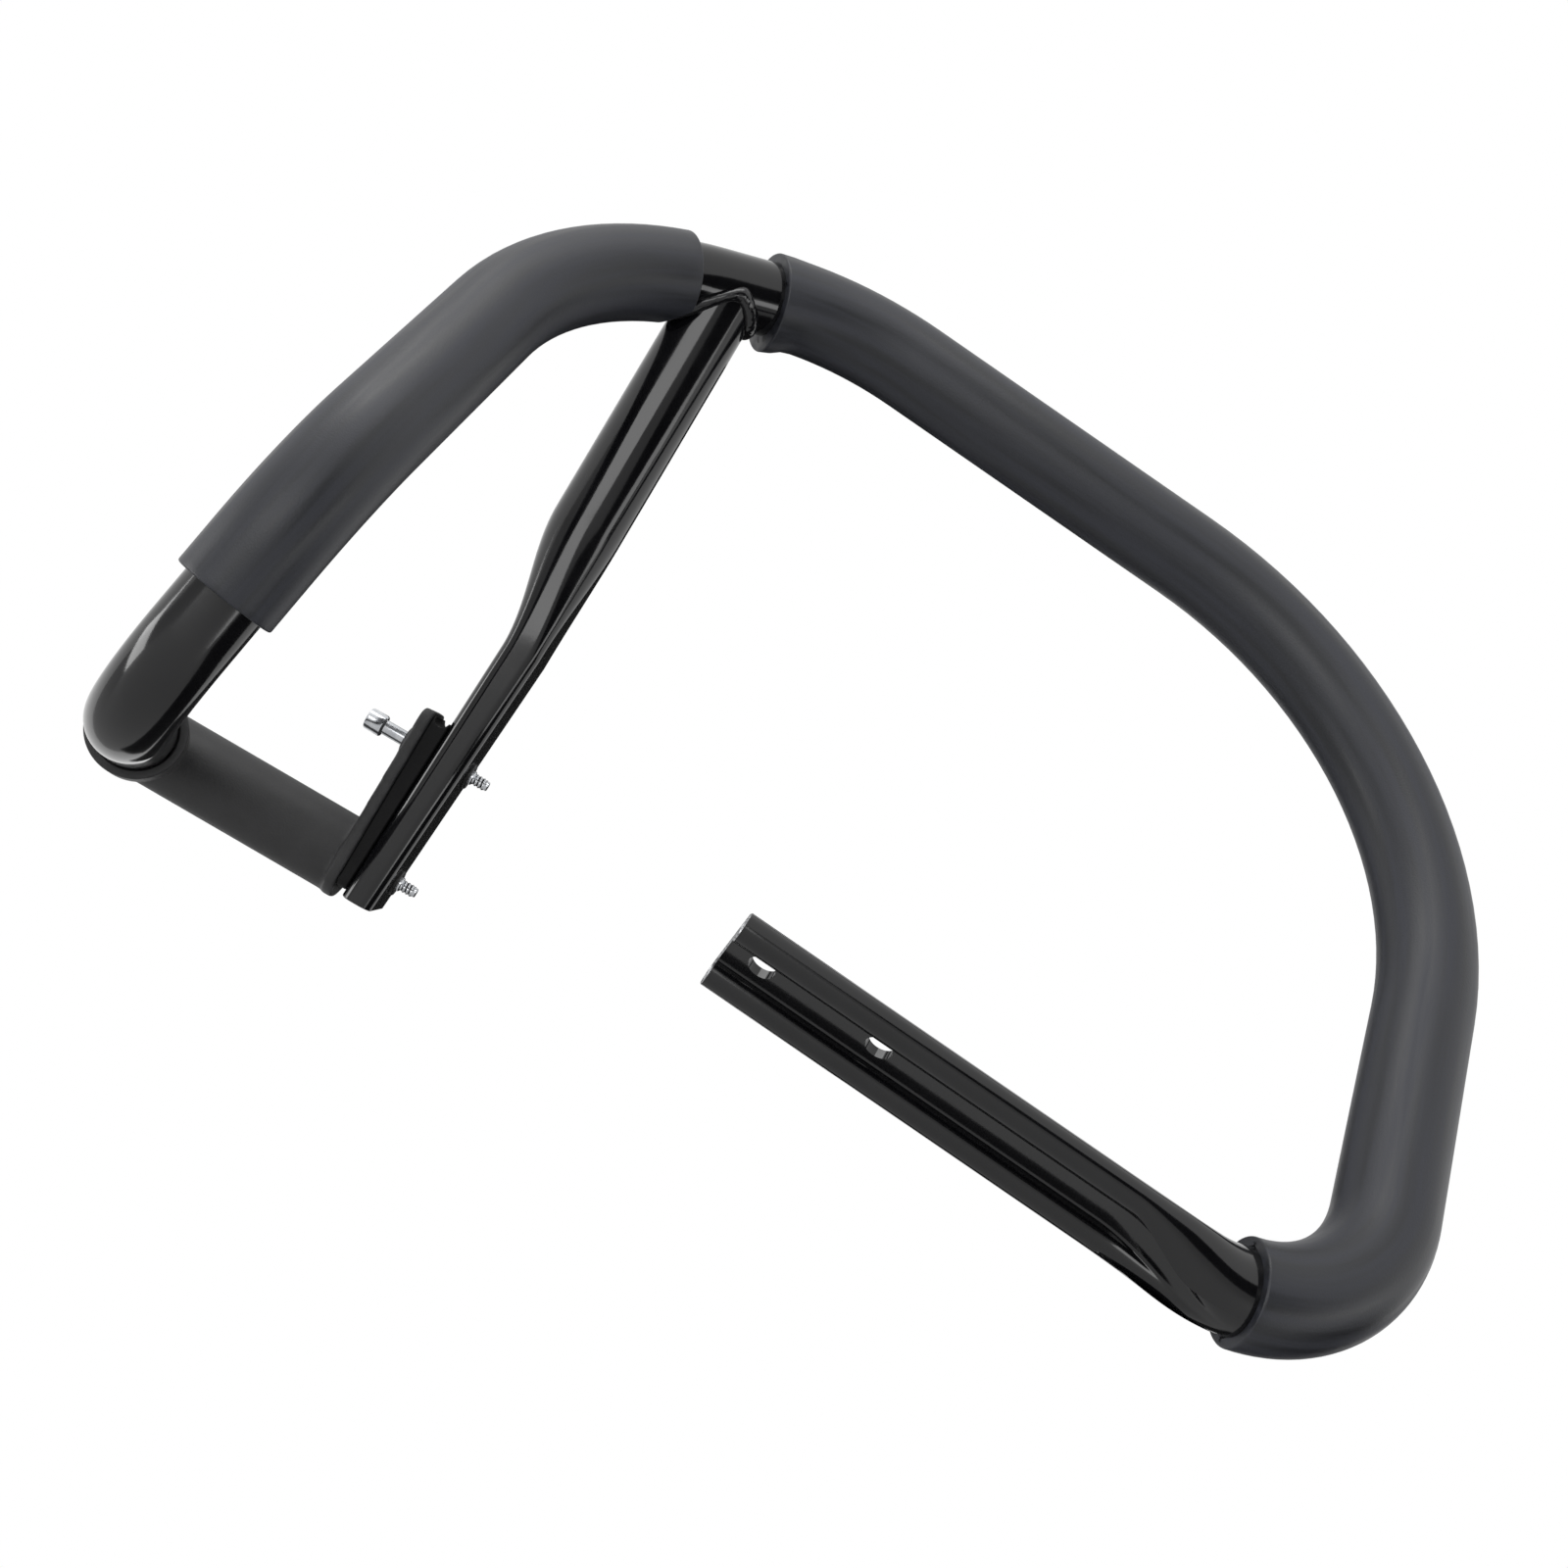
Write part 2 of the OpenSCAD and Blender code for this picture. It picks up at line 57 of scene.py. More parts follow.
TUBE_R = 12.5 * MM
WALL = 1.5 * MM
BAR_W = 33.5 * MM
BAR_T = 9 * MM
BAR_REACH = 30 * MM
HOLE_SPACING = 38 * MM
HOLE_R = 4.1 * MM
SWELL_START = 95 * MM + BAR_REACH
TOP_START = 110 * MM + BAR_REACH
SWELL_ANGLE = radians(19)
BRACE_AT = 45 * MM
BRACE_ROUND = 93 * MM
BRACE_CHANGE = 49 * MM
FLAT_W = 30.5 * MM
FLAT_R = 4.5 * MM
FLAT_TOP_T = 13.3 * MM
FLAT_END_T = 10.8 * MM
FLAT_TOP_OFF = 3.8 * MM
FLAT_END_OFF = -0.8 * MM
BEAD = 3 * MM
SPACER_T = 6.1 * MM
SPACER_IN = 1.25 * MM
SPACER_UP = 5.5 * MM
SPACER_HOLLOW = 2.4 * MM
PLATE_T = 4.2 * MM
PLATE_L = 70.5 * MM
PLATE_W = 29 * MM
PLATE_R = 4 * MM
PLATE_PAST = 3.5 * MM
ARM_R = 13.6 * MM
ARM_L = 77.5 * MM
ARM_LOW = 1.2 * MM
ARM_BACK = 2.5 * MM
BEND_SWELL = 0.9 * MM
MOUTH_R = 15.5 * MM
MOUTH_L = 30 * MM
MOUTH_REACH = 55 * MM
MOUTH_DEPTH = 32 * MM
GRIP_R = 15.5 * MM
FRONT_GAP = 2.5 * MM
FRONT_ANGLE = radians(17)
SIDE_GAP = 5 * MM
SIDE_DOWN = 15.5 * MM
LOW_SCREW_UP = 11.5 * MM
SCREW_SPACING = 42.5 * MM
SCREW_R = 2.5 * MM
SCREW_HOLE_R = 2.7 * MM
SHANK_FREE = 8 * MM
BOSS_H = 2 * MM
BOSS_R = 5.5 * MM
ARM_BORE_R = 5.5 * MM
HEAD_R = 3.75 * MM
HEAD_L = 6.3 * MM
NUT_R = 3.5 * MM
COLLAR_R = 4.75 * MM
COLLAR_T = 1.3 * MM
TIP_L = 6.5 * MM
BASE = Vector((0, 0, -BAR_T / 2))


def point(x, y, z):
    """A corner of the centre line, given in mm from the middle of the bar's holes."""
    return BASE + Vector((x, y, z)) * MM


def axes(x, y, z, origin):
    """Rigid place from its three axes and its origin."""
    return Matrix([[x[i], y[i], z[i], origin[i]] for i in range(3)] + [[0, 0, 0, 1]])


def turned_about(centre, axis, angle):
    """Turn about an axis through a centre."""
    return Matrix.Translation(centre) @ Matrix.Rotation(angle, 4, axis) @ Matrix.Translation(-centre)


def mix(a, b, t):
    """The value t of the way from a to b."""
    return a + (b - a) * t


def ramp(value, low, high):
    """Rises softly from 0 to 1 while value runs from low to high."""
    t = min(1, max(0, (value - low) / (high - low)))
    return t * t * (3 - 2 * t)


# Brace and bracket: the brace's own axes run to the saw, across it and down it

top_left = point(-113, 0, 250)
shoulder = point(-196, -8, 190)
brace_top = top_left + (shoulder - top_left).normalized() * BRACE_AT
brace_end = point(-132, 144, 35.5)
brace_l = (brace_end - brace_top).length
brace_z = (brace_end - brace_top).normalized()
brace_x = (Vector((1, 0, 0)) - brace_z * brace_z.x).normalized()
brace_y = brace_z.cross(brace_x)
in_brace = axes(brace_x, brace_y, brace_z, brace_top)

flat_z = BRACE_ROUND + BRACE_CHANGE
plate_z = brace_l + PLATE_PAST - PLATE_L
low_z = brace_l - LOW_SCREW_UP
high_z = low_z - SCREW_SPACING


def flat_run(z):
    """How far down the brace's flattened part z lies, from 0 to 1."""
    return max(0, (z - flat_z) / (brace_l - flat_z))


def flat_t(z):
    """Thickness of the flattened part."""
    return mix(FLAT_TOP_T, FLAT_END_T, flat_run(z))


def flat_mid(z):
    """Place of its middle across the brace."""
    return mix(FLAT_TOP_OFF, FLAT_END_OFF, flat_run(z))


def flat_out(z):
    """Place of its face towards the saw."""
    return flat_mid(z) + flat_t(z) / 2


def flat_in(z):
    """Place of its face towards the bracket."""
    return flat_mid(z) - flat_t(z) / 2


plate_in = flat_in(plate_z + SPACER_IN) - SPACER_T
plate_out = plate_in - PLATE_T
arm_bend = in_brace @ Vector((plate_out - ARM_L, -ARM_BACK, low_z + ARM_LOW))


def across(x, y, z):
    """Place in the brace's axes whose own Z runs to the saw."""
    return in_brace @ Matrix.Translation((x, y, z)) @ Matrix.Rotation(pi / 2, 4, "Y")


# Centre line of the bent tube: straights joined by arcs. Each stretch holds the run at which it
# starts and ends, its place, and for an arc its centre, its axis and its turn.

corners = [BASE - Vector((BAR_REACH, 0, 0)), point(175, 0, 0), point(153, 0, 250), top_left,
           shoulder, point(-192, -17, 42), point(-199, 33.5, -24), arm_bend]
radii = [r * MM for r in (0, 49, 133, 90, 100, 71, 33, 0)]
ways = [(b - a).normalized() for a, b in zip(corners, corners[1:])]
turns = [0] + [acos(a.dot(b)) for a, b in zip(ways, ways[1:])] + [0]
tangents = [r * tan(t / 2) for r, t in zip(radii, turns)]
stretches = []
here = axes((0, 1, 0), (0, 0, 1), (1, 0, 0), corners[0])
run = 0
for i, way in enumerate(ways):
    length = (corners[i + 1] - corners[i]).length - tangents[i] - tangents[i + 1]
    stretches.append((run, run + length, here, None))
    here = Matrix.Translation(way * length) @ here
    run += length
    if turns[i + 1]:
        axis = way.cross(ways[i + 1]).normalized()
        centre = here.translation + axis.cross(way) * radii[i + 1]
        arc = radii[i + 1] * turns[i + 1]
        stretches.append((run, run + arc, here, (centre, axis, turns[i + 1])))
        here = turned_about(centre, axis, turns[i + 1]) @ here
        run += arc
bends = [s for s in stretches if s[3]]
mouth_at = run - MOUTH_REACH
tube_end = mouth_at + MOUTH_DEPTH
swell_end = bends[0][0] + SWELL_ANGLE * radii[1]
brace_run = bends[2][1] - tangents[3] + BRACE_AT


def place_at(distance):
    """Place across the tube at a distance along its centre line."""
    low, high, start, bend = next((s for s in stretches if distance <= s[1]), stretches[-1])
    if not bend:
        return start @ Matrix.Translation((0, 0, distance - low))
    centre, axis, turn = bend
    return turned_about(centre, axis, turn * (distance - low) / (high - low)) @ start


def straightened(p):
    """Where a point near the tube would lie if the tube were straight."""
    for low, high, start, bend in stretches:
        angle = 0
        if bend:
            centre, axis, turn = bend
            zero = start.translation - centre
            arm = p - centre
            angle = atan2(axis.dot(zero.cross(arm)), zero.dot(arm - axis * axis.dot(arm)))
            if not 0 <= angle <= turn:
                continue
            p_here = turned_about(centre, axis, -angle) @ p
        else:
            p_here = p
        local = start.inverted() @ p_here
        along = local.z + angle * (high - low) / bend[2] if bend else local.z
        if -CLOSE <= along <= high - low + CLOSE and hypot(local.x, local.y) < 2 * TUBE_R:
            return Vector((local.x, local.y, low + along))
    return Vector((0, 0, 0))


# Shapes. Circles of the tubes, the casting and the small parts have as many points as named here.

ROUND = 72
FINE = 96
SMALL = 64


def circle(r, count):
    """Points on a circle round Z."""
    angles = [2 * pi * k / count for k in range(count)]
    return [Vector((r * cos(a), r * sin(a), 0)) for a in angles]


def arc_points(c, r, start, stop, count):
    """Points on an arc round (c, 0), from an angle in degrees up to the next arc's first one."""
    angles = [radians(mix(start, stop, k / count)) for k in range(count)]
    return [Vector((c + r * cos(a), r * sin(a), 0)) for a in angles]


def row_points(a, b, count):
    """Points on a line, from a up to the next line's first one."""
    return [mix(Vector(a), Vector(b), k / count) for k in range(count)]


def skin(bm, rings, ends="capped"):
    """A skin through rings of points. The first ring is a circle whose points are moved, and each
    other one is an extrusion of the ring before it. The ends are capped, open or joined."""
    if ends == "joined":
        rings = rings + [rings[0]]
    ring = bmesh.ops.create_circle(bm, segments=len(rings[0]), radius=1)["verts"]
    first = edges = [bm.edges.get(pair) for pair in zip(ring, ring[1:] + ring[:1])]
    for v, p in zip(ring, rings[0]):
        v.co = p
    for points in rings[1:]:
        made = bmesh.ops.extrude_edge_only(bm, edges=edges)["geom"]
        fresh = {g for g in made if isinstance(g, bmesh.types.BMVert)}
        ring = [next(e.other_vert(v) for e in v.link_edges if e.other_vert(v) in fresh) for v in ring]
        for v, p in zip(ring, points):
            v.co = p
        edges = [bm.edges.get(pair) for pair in zip(ring, ring[1:] + ring[:1])]
    if ends == "capped":
        bmesh.ops.contextual_create(bm, geom=first)
        bmesh.ops.contextual_create(bm, geom=edges)
    if ends == "joined":
        bmesh.ops.remove_doubles(bm, verts=bm.verts, dist=CLOSE)
    return first, edges


CUT_OFF = 0.01 * MM


def sweep(bm, ring, start, stop, step=6 * MM, turn_step=radians(3)):
    """Runs a ring of edges along the tube's centre line, straight on and round each bend."""
    for low, high, begin, bend in stretches:
        near, far = max(start, low), min(stop, high)
        if far - near < CUT_OFF:
            continue
        if bend:
            angle = bend[2] * (far - near) / (high - low)
            made = bmesh.ops.spin(bm, geom=ring, cent=bend[0], axis=bend[1], angle=angle,
                                  steps=ceil(angle / turn_step), use_duplicate=False)["geom_last"]
            ring = [g for g in made if isinstance(g, bmesh.types.BMEdge)]
            continue
        count = ceil((far - near) / step)
        for _ in range(count):
            made = bmesh.ops.extrude_edge_only(bm, edges=ring)["geom"]
            fresh = {g for g in made if isinstance(g, bmesh.types.BMVert)}
            bmesh.ops.translate(bm, verts=list(fresh), vec=begin.col[2].xyz * (far - near) / count)
            ring = [g for g in made if isinstance(g, bmesh.types.BMEdge) and set(g.verts) <= fresh]
    return ring


def turned(bm, place, profile, steps=48, hollow=False):
    """Shape turned about place's Z axis from pairs of radius and height. A solid one is closed
    on its axis, a hollow one runs round its own section."""
    others = set(bm.verts)
    if not hollow:
        profile = [(0, profile[0][1])] + profile + [(0, profile[-1][1])]
    line = [bm.verts.new((r, 0, z)) for r, z in profile]
    edges = [bm.edges.new(pair) for pair in zip(line, line[1:] + (line[:1] if hollow else []))]
    bmesh.ops.spin(bm, geom=line + edges, cent=(0, 0, 0), axis=(0, 0, 1), angle=2 * pi, steps=steps,
                   use_merge=True, use_duplicate=False)
    bmesh.ops.remove_doubles(bm, verts=[v for v in bm.verts if v not in others], dist=CLOSE)
    bmesh.ops.transform(bm, matrix=place, verts=[v for v in bm.verts if v not in others])


def moved(place, points):
    """Points taken to a place."""
    return [place @ p for p in points]


def new_piece(name, bm, sharp=35):
    """Closes a bmesh into an object with smooth faces, whose edges stay sharp past an angle."""
    bmesh.ops.recalc_face_normals(bm, faces=bm.faces)
    mesh = bpy.data.meshes.new(name)
    bm.to_mesh(mesh)
    bm.free()
    mesh.shade_smooth()
    mesh.set_sharp_from_angle(angle=radians(sharp))
    piece = bpy.data.objects.new(name, mesh)
    bpy.context.scene.collection.objects.link(piece)
    return piece


def apply_modifiers(piece, sharp=35):
    """Makes the piece's modified shape its mesh."""
    graph = bpy.context.evaluated_depsgraph_get()
    mesh = bpy.data.meshes.new_from_object(piece.evaluated_get(graph))
    piece.modifiers.clear()
    piece.data = mesh
    mesh.shade_smooth()
    mesh.set_sharp_from_angle(angle=radians(sharp))


def bore(piece, cutter, sharp=35):
    """Cuts a piece with the closed shapes of a bmesh."""
    tool = new_piece("cutter", cutter)
    cut = piece.modifiers.new("bores", "BOOLEAN")
    cut.operation = "DIFFERENCE"
    cut.solver = "MANIFOLD"
    cut.object = tool
    apply_modifiers(piece, sharp)
    bpy.data.objects.remove(tool)


# Bent tube: round from the lower right bend on, pressed into the bar with its two hollow lobes

LOBE_R = BAR_T / 2
LOBE_Y = BAR_W / 2 - LOBE_R
WEB_Z = LOBE_R - 2 * WALL
ROW, LOBE = 12, 20
LOBE_TIP = ROW + LOBE
CHANNEL_END = 2 * ROW + 3 * LOBE
TUBE_CUTS = ((60, 120, ROW), (120, 240, LOBE), (240, 266, LOBE), (266, 274, ROW), (274, 300, LOBE),
             (300, 420, LOBE))
RIM = 0.35 * MM
CREASE_PASSES = 3
SWELL_RINGS = 40
HOLLOW_POINTS = 40
CUT_END_DEPTH = 0.4 * MM


def bar_outline(inset=0):
    """Section of the pressed bar: a flat upper face, a round lobe at each side, a channel below
    whose creases are softened by averaging neighbours."""
    r = LOBE_R - inset
    low = WEB_Z + inset
    inner = asin(low / r)
    web_end = LOBE_Y - r * cos(inner)
    turn = inner * 180 / pi
    outline = (row_points((LOBE_Y, r, 0), (-LOBE_Y, r, 0), ROW)
               + arc_points(-LOBE_Y, r, 90, 270, LOBE)
               + arc_points(-LOBE_Y, r, 270, 360 + turn, LOBE)
               + row_points((-web_end, low, 0), (web_end, low, 0), ROW)
               + arc_points(LOBE_Y, r, 180 - turn, 270, LOBE)
               + arc_points(LOBE_Y, r, 270, 450, LOBE))
    for _ in range(CREASE_PASSES):
        threes = zip(outline[LOBE_TIP:], outline[LOBE_TIP + 1:], outline[LOBE_TIP + 2:])
        softer = [(a + 2 * b + c) / 4 for a, b, c in threes]
        outline[LOBE_TIP + 1:CHANNEL_END] = softer[:CHANNEL_END - LOBE_TIP - 1]
    return outline


tube_outline = [p for a, b, count in TUBE_CUTS for p in arc_points(0, TUBE_R, a, b, count)]


def tube_section(distance):
    """Section between bar and tube: the lobes swell first, and the channel runs out last."""
    low = ramp(distance, SWELL_START, bends[0][0])
    high = ramp(distance, TOP_START, swell_end)
    channel = ramp(distance, SWELL_START, swell_end)
    section = []
    for k, (a, b) in enumerate(zip(bar_outline(), tube_outline)):
        t = channel if LOBE_TIP < k < CHANNEL_END else mix(low, high, (1 + b.y / TUBE_R) / 2)
        section.append(mix(a, b, t))
    return section


bm = bmesh.new()
runs = [RIM] + [mix(SWELL_START, swell_end, k / SWELL_RINGS) for k in range(SWELL_RINGS + 1)]
free_end, round_end = skin(bm, [moved(place_at(0), bar_outline(RIM))]
                           + [moved(place_at(s), tube_section(s)) for s in runs], ends="open")
far_end = sweep(bm, round_end, swell_end, tube_end)
bmesh.ops.contextual_create(bm, geom=far_end)
rims = list(free_end)
for side in (-1, 1):
    lobe = Vector((side * LOBE_Y, 0, 0))
    hollow = [(LOBE_R - WALL + RIM, 0), (LOBE_R - WALL, RIM), (LOBE_R - WALL, SWELL_START)]
    mouth, deep = skin(bm, [moved(place_at(s) @ Matrix.Translation(lobe), circle(r, HOLLOW_POINTS))
                            for r, s in hollow], ends="open")
    bmesh.ops.contextual_create(bm, geom=deep)
    rims += mouth
bmesh.ops.triangle_fill(bm, use_beauty=True, use_dissolve=False, edges=rims)
bent_tube = new_piece("bent_tube", bm)
holes = bmesh.new()
for x in (-HOLE_SPACING / 2, HOLE_SPACING / 2):
    turned(holes, Matrix.Translation((x, 0, 0)), [(HOLE_R, -2 * BAR_T), (HOLE_R, BAR_T)], SMALL)
bore(bent_tube, holes)
# Faces of the sharp cut end, which take the bright metal of the painted highlight below
cut_end = [face.index for face in bent_tube.data.polygons
           if face.center.x < CUT_END_DEPTH - BAR_REACH
           and (face.center - corners[0]).length < BAR_W]

# Brace: round where it is welded on, pressed flat towards its open end

main_way = Vector([ways[3].dot(v) for v in (brace_x, brace_y, brace_z)])
QUARTER = 18
CHANGE_RINGS = 24


def on_tube(x, y):
    """Height along the brace at which a line through (x, y) leaves the bent tube's skin."""
    b = x * main_way.x + y * main_way.y
    a = 1 - main_way.z ** 2
    half = -b * main_way.z
    root = max(0, half * half - a * (x * x + y * y - b * b - TUBE_R ** 2))
    return (sqrt(root) - half) / a


def flat_section(z, inset):
    """Outline of the flattened part at height z: a box with round corners, drawn in by inset."""
    outline = []
    for q, (x, y) in enumerate(((1, 1), (-1, 1), (-1, -1), (1, -1))):
        for k in range(QUARTER):
            a = pi / 2 * (q + k / (QUARTER - 1))
            over = flat_mid(z) + x * (flat_t(z) / 2 - FLAT_R) + (FLAT_R - inset) * cos(a)
            outline.append(Vector((over, y * (FLAT_W / 2 - FLAT_R) + (FLAT_R - inset) * sin(a), 0)))
    return outline


def brace_section(z, inset=0):
    """Outline of the brace at height z, between the round tube's and the flattened part's."""
    t = ramp(z, BRACE_ROUND, flat_z)
    angles = [pi / 2 * (k + 0.5) / QUARTER for k in range(4 * QUARTER)]
    tube = [Vector(((TUBE_R - inset) * cos(a), (TUBE_R - inset) * sin(a), 0)) for a in angles]
    return [mix(a, b, t) + Vector((0, 0, z)) for a, b in zip(tube, flat_section(z, inset))]


def brace_rings(inset):
    """Rings of one of the brace's skins, from the bent tube down to its open end."""
    saddle = [Vector((p.x, p.y, on_tube(p.x, p.y) - RIM)) for p in brace_section(0, inset)]
    steps = [BRACE_ROUND + BRACE_CHANGE * k / CHANGE_RINGS for k in range(CHANGE_RINGS + 1)]
    steps.append(brace_l - RIM)
    return [saddle] + [brace_section(z, inset) for z in steps]


bm = bmesh.new()
rings = (brace_rings(0) + [brace_section(brace_l, RIM), brace_section(brace_l, WALL - RIM)]
         + brace_rings(WALL)[::-1])
skin(bm, [moved(in_brace, ring) for ring in rings], ends="joined")
brace = new_piece("brace", bm)
holes = bmesh.new()
for z in (low_z, high_z):
    turned(holes, across(0, 0, z), [(SCREW_HOLE_R, -2 * TUBE_R), (SCREW_HOLE_R, flat_mid(z)),
                                    (NUT_R, flat_mid(z)), (NUT_R, 2 * TUBE_R)])
bore(brace, holes)

# Weld bead: laid round the top of the brace in short overlapping ripples, a little uneven as a
# hand lays it

RIPPLE = 2.2 * MM
RIPPLE_RINGS = 6
BEAD_POINTS = 16
BEAD_SUNK = 0.2 * MM
count = round(2 * pi * TUBE_R / RIPPLE) * RIPPLE_RINGS
rings = []
for k in range(count):
    a = 2 * pi * k / count
    out = Vector((cos(a), sin(a), 0))
    phase = (k % RIPPLE_RINGS) / RIPPLE_RINGS
    r = BEAD * (0.94 + 0.06 * sqrt(1 - phase ** 2) + 0.05 * sin(3 * a + 1) + 0.03 * sin(7 * a))
    at = out * (TUBE_R - BEAD_SUNK)
    at.z = on_tube(at.x, at.y)
    rings.append([in_brace @ (at + out * (r * cos(w)) + Vector((0, 0, r * sin(w))))
                  for w in (2 * pi * j / BEAD_POINTS for j in range(BEAD_POINTS))])
bm = bmesh.new()
skin(bm, rings, ends="joined")
weld = new_piece("weld", bm, sharp=60)

# Rubber sleeves: the front one's end is pressed out over the weld, the side one is notched for it

LIP = 0.7 * MM
SLEEVE_STEP = 3 * MM
PLAY = 0.05 * MM
BULGE = 2.5 * MM
FLARE = 0.3 * MM
BULGE_FROM = 12 * MM
BULGE_FULL = 2 * MM
NOTCH_R = TUBE_R + BEAD + 0.3 * MM
NOTCH_L = 75 * MM
SLEEVE_SHARP = 50
side_way = place_at(brace_run).inverted().to_3x3() @ brace_z


def sleeve(name, start, stop, bulge=0):
    """Sleeve over the tube between two distances, with its cut ends slightly rounded. Its far
    end is pressed out by bulge on the brace's side."""
    bm = bmesh.new()
    ends = []
    for r in (GRIP_R, TUBE_R + PLAY):
        ring = bmesh.ops.create_circle(bm, segments=ROUND, radius=r, matrix=place_at(start))["verts"]
        first = [bm.edges.get(pair) for pair in zip(ring, ring[1:] + ring[:1])]
        ends.append((first, sweep(bm, first, start, stop, SLEEVE_STEP)))
    (near, far), (near_in, far_in) = ends
    bmesh.ops.bridge_loops(bm, edges=near + near_in)
    bmesh.ops.bridge_loops(bm, edges=far + far_in)
    bmesh.ops.bevel(bm, geom=near + far, offset=LIP, offset_type="OFFSET", segments=4, profile=0.5,
                    affect="EDGES", material=-1)
    if bulge:
        for v in bm.verts:
            at = straightened(v.co)
            side = max(0, (at.x * side_way.x + at.y * side_way.y) / hypot(at.x, at.y))
            out = place_at(at.z).to_3x3() @ Vector((at.x, at.y, 0)).normalized()
            v.co += (out * (FLARE + bulge * side ** 3)
                     * ramp(at.z, stop - BULGE_FROM, stop - BULGE_FULL))
    return new_piece(name, bm, SLEEVE_SHARP)


front_sleeve = sleeve("front_sleeve", bends[0][0] + FRONT_ANGLE * radii[1],
                      brace_run - TUBE_R - FRONT_GAP, BULGE)
side_sleeve = sleeve("side_sleeve", brace_run + TUBE_R + SIDE_GAP, bends[4][1] + SIDE_DOWN)
notch = bmesh.new()
turned(notch, in_brace, [(NOTCH_R, 0), (NOTCH_R, NOTCH_L)], FINE)
bore(side_sleeve, notch, SLEEVE_SHARP)
for piece in (front_sleeve, side_sleeve):
    lie = piece.data.attributes.new("straight", "FLOAT_VECTOR", "POINT")
    for v in piece.data.vertices:
        lie.data[v.index].vector = straightened(v.co)

# Cast bracket: collar, bend, arm, plate and boss melted into one casting, then bored

VOXEL = 0.7 * MM
BORE_R = TUBE_R + 0.1 * MM
BORE_CHAMFER = 0.5 * MM
PLATE_LOW_R = PLATE_W / 2 - MM
DRILL_FROM = 5 * MM
DRILL_L = 15 * MM


def plate_ring(face, length, width, corner, low_corner, upper, inset=0, count=14):
    """Outline of a plate on the brace, with the radii of its upper and its lower corners. face
    gives its place across the brace at each height."""
    ring = []
    for y, z, r, start in ((width / 2 - low_corner, upper + length - low_corner, low_corner, 0),
                           (low_corner - width / 2, upper + length - low_corner, low_corner, 90),
                           (corner - width / 2, upper + corner, corner, 180),
                           (width / 2 - corner, upper + corner, corner, 270)):
        for k in range(count):
            a = radians(mix(start, start + 90, k / (count - 1)))
            at = z + (r - inset) * sin(a)
            ring.append(in_brace @ Vector((face(at), y + (r - inset) * cos(a), at)))
    return ring


in_mouth = place_at(mouth_at)
bm = bmesh.new()
turned(bm, across(plate_out - ARM_L, -ARM_BACK, low_z + ARM_LOW),
       [(ARM_R, 0), (ARM_R, ARM_L + PLATE_T / 2)], FINE)
turned(bm, across(plate_out - BOSS_H, 0, high_z), [(BOSS_R, 0), (BOSS_R, BOSS_H + PLATE_T / 2)], SMALL)
skin(bm, [plate_ring(lambda z: x, PLATE_L, PLATE_W, PLATE_R, PLATE_LOW_R, plate_z)
          for x in (plate_out, plate_in)])
turned(bm, in_mouth, [(MOUTH_R, 0), (MOUTH_R, MOUTH_L), (ARM_R, MOUTH_L + 2 * (MOUTH_R - ARM_R)),
                      (ARM_R, MOUTH_REACH)], FINE)
bmesh.ops.create_uvsphere(bm, u_segments=SMALL, v_segments=SMALL // 2, radius=ARM_R + BEND_SWELL,
                          matrix=Matrix.Translation(arm_bend))
bracket = new_piece("cast_bracket", bm)
melt = bracket.modifiers.new("melt", "REMESH")
melt.mode = "VOXEL"
melt.voxel_size = VOXEL
soften = bracket.modifiers.new("soften", "SMOOTH")
soften.factor = 0.5
soften.iterations = 12
apply_modifiers(bracket)
holes = bmesh.new()
turned(holes, in_mouth, [(BORE_R + 5 * BORE_CHAMFER, -4 * BORE_CHAMFER), (BORE_R + BORE_CHAMFER, 0),
                         (BORE_R, BORE_CHAMFER), (BORE_R, MOUTH_DEPTH)], FINE)
bore(bracket, holes)
holes = bmesh.new()
turned(holes, across(plate_out - ARM_L - 2 * ARM_R, 0, low_z),
       [(ARM_BORE_R, 0), (ARM_BORE_R, ARM_L + 2 * ARM_R)])
turned(holes, across(plate_out - DRILL_FROM, 0, high_z), [(SCREW_HOLE_R, 0), (SCREW_HOLE_R, DRILL_L)])
bore(bracket, holes)
holes = bmesh.new()
turned(holes, across(plate_out - DRILL_FROM, 0, low_z), [(SCREW_HOLE_R, 0), (SCREW_HOLE_R, DRILL_L)])
bore(bracket, holes)

# Spacer, a moulded wedge with a hollow across its upper end

PAD_EDGE = 0.4 * MM
PAD_LOW_R = 4 * MM
pad_top = plate_z + SPACER_IN
pad_size = (PLATE_L - SPACER_IN - SPACER_UP, PLATE_W - 2 * SPACER_IN, PLATE_R - SPACER_IN, PAD_LOW_R,
            pad_top)
bm = bmesh.new()
skin(bm, [plate_ring(lambda z: plate_in, *pad_size, PAD_EDGE),
          plate_ring(lambda z: plate_in + PAD_EDGE, *pad_size),
          plate_ring(lambda z: flat_in(z) - PAD_EDGE, *pad_size),
          plate_ring(flat_in, *pad_size, PAD_EDGE)])
pad = new_piece("pad", bm)
holes = bmesh.new()
groove = (in_brace @ Matrix.Translation((plate_in + SPACER_T / 2, 0, pad_top))
          @ Matrix.Rotation(pi / 2, 4, "X"))
turned(holes, groove, [(SPACER_HOLLOW, -PLATE_W), (SPACER_HOLLOW, PLATE_W)])
for z in (low_z, high_z):
    turned(holes, across(plate_in - MM, 0, z), [(SCREW_HOLE_R, 0), (SCREW_HOLE_R, SPACER_T + 2 * MM)])
bore(pad, holes)

# Screws: smooth heads with a hexagon socket, smooth shanks, threaded tips

HEXAGON = 2 * MM
SOCKET_L = 3 * MM
EDGE = 0.3 * MM
TIP_R = SCREW_R - 0.6 * MM
